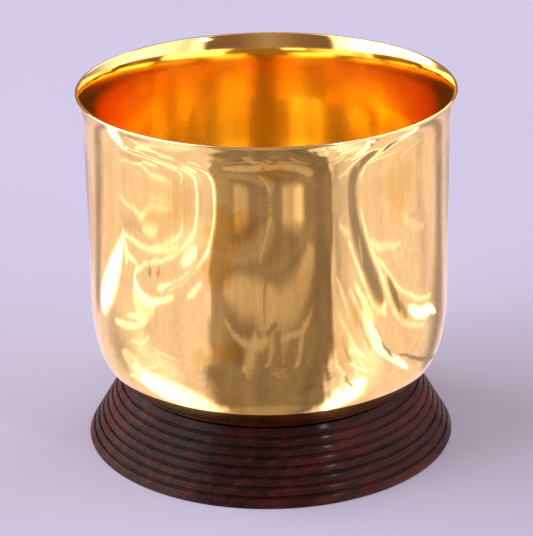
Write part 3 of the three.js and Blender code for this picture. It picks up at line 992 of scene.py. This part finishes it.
def make_floor():
    """A plain pale floor which, for reflected rays only, glows with a painted reflection of cloth in folds,
    lit and shaded.
    """
    material, tree, shader = new_material("plain_floor_painted_reflection")
    feed(tree, shader, Base_Color=FLOOR_COLOUR, Roughness=0.9, Specular_IOR_Level=0.1)
    painted_satin_light = place(tree, "ShaderNodeAttribute", attribute_name="painted_satin_light").outputs["Color"]
    mottle = noise_at(tree, on_object(tree), scale=90.0, detail=5.0, roughness=0.65)
    uneven = remap(tree, mottle, 0.3, 0.7, 0.88, 1.12)
    # Painted reflection: the floor glows with the painted light and shade, and only glossy rays see the glow
    glow = place(tree, "ShaderNodeEmission", {"Color": scaled(tree, painted_satin_light, uneven), "Strength": 1.0})
    seen_in_metal = place(tree, "ShaderNodeLightPath").outputs["Is Glossy Ray"]
    mixed = place(tree, "ShaderNodeMixShader", {0: seen_in_metal, 1: shader.outputs[0], 2: glow.outputs[0]})
    feed(tree, tree.nodes["Material Output"], Surface=mixed.outputs[0])
    material.cycles.emission_sampling = "NONE"

    # A fine grid holds the painted reflection, and four plain pieces carry the floor on from its sides,
    # glowing with the even far light
    side = round(2 * SATIN_REACH / SATIN_SPACING)
    count = side + 1
    ticks = [-SATIN_REACH + 2 * SATIN_REACH * i / side for i in range(count)]
    places = [(x, y) for y in ticks for x in ticks]
    faces = [
        (row * count + i, row * count + i + 1, (row + 1) * count + i + 1, (row + 1) * count + i)
        for row in range(side) for i in range(side)
    ]
    border = list(range(side))
    border += [row * count + side for row in range(side)]
    border += [side * count + i for i in range(side, 0, -1)]
    border += [row * count for row in range(side, -1, -1)]
    first = len(places)
    for k in range(4):
        near = border[k * side:(k + 1) * side + 1]
        faces.append((first + k, first + (k + 1) % 4, *reversed(near)))
    far = FLOOR_REACH
    outer = [(-far, -far), (far, -far), (far, far), (-far, far)]
    vertices = [(x * MM, y * MM, 0) for x, y in places + outer]
    floor = mesh_object("studio_floor", vertices, faces, [material], [0] * len(faces), math.pi)
    colours = np.ones((len(vertices), 4))
    colours[:first, :3] = painted_satin_reflection(places)
    colours[first:, :3] = FAR_LIGHT * np.array(SATIN_LIGHT_TINT)
    painted_light_layer = floor.data.color_attributes.new("painted_satin_light", "FLOAT_COLOR", "POINT")
    painted_light_layer.data.foreach_set("color", colours.ravel())


# Light that the room sends in, by direction in degrees from the front (right is positive)
ROOM_LIGHT = (
    (-180, 0.36), (-150, 0.34), (-132, 0.45), (-121, 2.20), (-107, 2.80), (-95, 1.20), (-82, 2.80),
    (-66, 5.20), (-54, 3.00), (-47, 2.40), (-42, 0.22), (-24, 0.26), (-2, 0.46), (16, 0.26), (38, 0.20),
    (43, 2.20), (52, 1.10), (80, 2.30), (105, 1.70), (126, 0.75), (146, 0.42), (180, 0.36),
)
# Heights, in degrees, between which the dark gap in front ends and the light above evens out
GAP_TOP, ABOVE_GAP_LIGHT = (34, 44), 0.5
OVERHEAD, OVERHEAD_LIGHT = (52, 80), 0.55
DIM_LIGHT, BRIGHT_LIGHT = 0.2, 1.0
DIM_TINT, BRIGHT_TINT = rgb(1.0, 0.54, 0.42), rgb(0.98, 0.92, 1.0)


def make_surround():
    """The room round the set: soft light from both sides, less from behind and above, and a dark
    gap in front, where the picture is taken from."""
    world = bpy.data.worlds.new("studio_surround")
    bpy.context.scene.world = world
    world.use_nodes = True
    tree = world.node_tree
    x, y, z = split(tree, place(tree, "ShaderNodeTexCoord").outputs["Generated"])
    azimuth = maths(tree, "ARCTAN2", x, times(tree, y, -1.0))
    ramp = place(tree, "ShaderNodeValToRGB", {"Fac": remap(tree, azimuth, -math.pi, math.pi)})
    stops = ramp.color_ramp.elements
    brightest = max(light for direction, light in ROOM_LIGHT)
    for direction, light in ROOM_LIGHT:
        at = (direction + 180) / 360
        stop = stops[0] if at == 0 else stops[-1] if at == 1 else stops.new(at)
        stop.color = rgb(*3 * [light / brightest])

    def risen(heights, to=1.0):
        low, high = (math.sin(math.radians(height)) for height in heights)
        return remap(tree, z, low, high, 0.0, to, smooth=True)

    level = times(tree, ramp.outputs[0], brightest)
    level = maths(tree, "MAXIMUM", level, risen(GAP_TOP, ABOVE_GAP_LIGHT))
    missing = maths(tree, "SUBTRACT", OVERHEAD_LIGHT, level)
    level = maths(tree, "ADD", level, times(tree, missing, risen(OVERHEAD)))
    tint = blend(tree, remap(tree, level, DIM_LIGHT, BRIGHT_LIGHT), DIM_TINT, BRIGHT_TINT)
    from_camera = place(tree, "ShaderNodeLightPath").outputs["Is Camera Ray"]
    seen = blend(tree, from_camera, scaled(tree, tint, level), BACKDROP_COLOUR)
    feed(tree, tree.nodes["Background"], Color=seen, Strength=1.0)


def aim(obj, place_at, target):
    obj.location = place_at
    obj.rotation_mode = "QUATERNION"
    obj.rotation_quaternion = (Vector(target) - Vector(place_at)).to_track_quat("-Z", "Y")


def make_softbox(name, place_at, size, power):
    light = bpy.data.lights.new(name, "AREA")
    light.shape = "SQUARE"
    light.size = size
    light.energy = power
    obj = add_object(name, light)
    obj.visible_camera = False
    aim(obj, place_at, (0, 0, RIM_HEIGHT / 2))


def make_camera():
    """The photograph's view, as fitted to its ellipses."""
    distance, height = 0.7103, 0.3509
    pitch, yaw, roll = math.radians(22.25), math.radians(-0.05), math.radians(-0.80)
    focal_pixels, long_side = 2187.1, 536
    camera = bpy.data.cameras.new("camera")
    camera.sensor_width = 36
    camera.lens = focal_pixels * camera.sensor_width / long_side
    camera.shift_x, camera.shift_y = -0.5 / long_side, 0.5 / long_side
    camera.clip_start, camera.clip_end = 0.01, 50
    forward = Vector((math.sin(yaw) * math.cos(pitch), math.cos(yaw) * math.cos(pitch), -math.sin(pitch)))
    level = forward.cross(UP).normalized()
    upright = level.cross(forward)
    right = level * math.cos(roll) + upright * math.sin(roll)
    top = upright * math.cos(roll) - level * math.sin(roll)
    obj = add_object("camera", camera)
    obj.matrix_world = Matrix((
        (right.x, top.x, -forward.x, 0),
        (right.y, top.y, -forward.y, -distance),
        (right.z, top.z, -forward.z, height),
        (0, 0, 0, 1),
    ))
    bpy.context.scene.camera = obj


make_camera()
make_bowl()
make_foot()
make_ring("solder_disc", disc_low, disc_high, DISC_HOLE_CLEARANCE, DISC_BEVEL, SILVER,
          "backing_disc")
make_stud()
make_ring("round_washer", washer_low, washer_high, WASHER_HOLE_CLEARANCE, WASHER_BEVEL, BRASS,
          "washer")
make_nut()
make_floor()
make_surround()
make_softbox("left_softbox", (-0.85, 0.20, 0.60), size=0.90, power=5.0)
make_softbox("right_lamp", (0.553, -0.608, 0.561), size=0.07, power=0.9)
make_softbox("rear_softbox", (0.55, 0.75, 0.75), size=0.5, power=2.5)

scene = bpy.context.scene
scene.view_settings.view_transform = "Standard"
scene.cycles.max_bounces = 16
scene.cycles.glossy_bounces = 14
